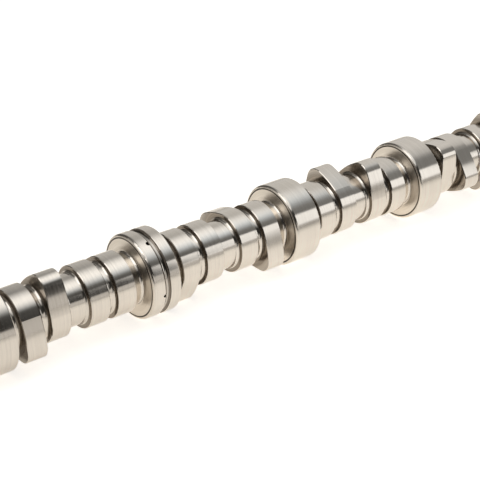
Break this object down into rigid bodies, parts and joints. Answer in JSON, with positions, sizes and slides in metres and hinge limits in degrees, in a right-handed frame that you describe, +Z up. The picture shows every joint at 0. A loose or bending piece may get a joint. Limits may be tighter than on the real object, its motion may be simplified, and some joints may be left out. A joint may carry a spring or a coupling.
{
  "type": "camshaft",
  "caption": "Ground steel engine camshaft: round bearing journals and egg-shaped lobes in one piece, with an oil groove, a bolt-on front nose and a pressed timing dowel.",
  "frame": {"origin": "centre of the front bolt circle, on the front face of the nose", "axes": "+X along the shaft towards its rear end, +Z up as the picture shows it"},
  "size_m": [0.4813, 0.055, 0.055],
  "materials": {
    "ground_steel": "ground and polished, fine marks round the axis",
    "dowel_steel": "hardened, ground"
  },
  "bodies": {
    "root": {"camshaft": "ground_steel", "timing_dowel": "dowel_steel"}
  },
  "joints": []
}
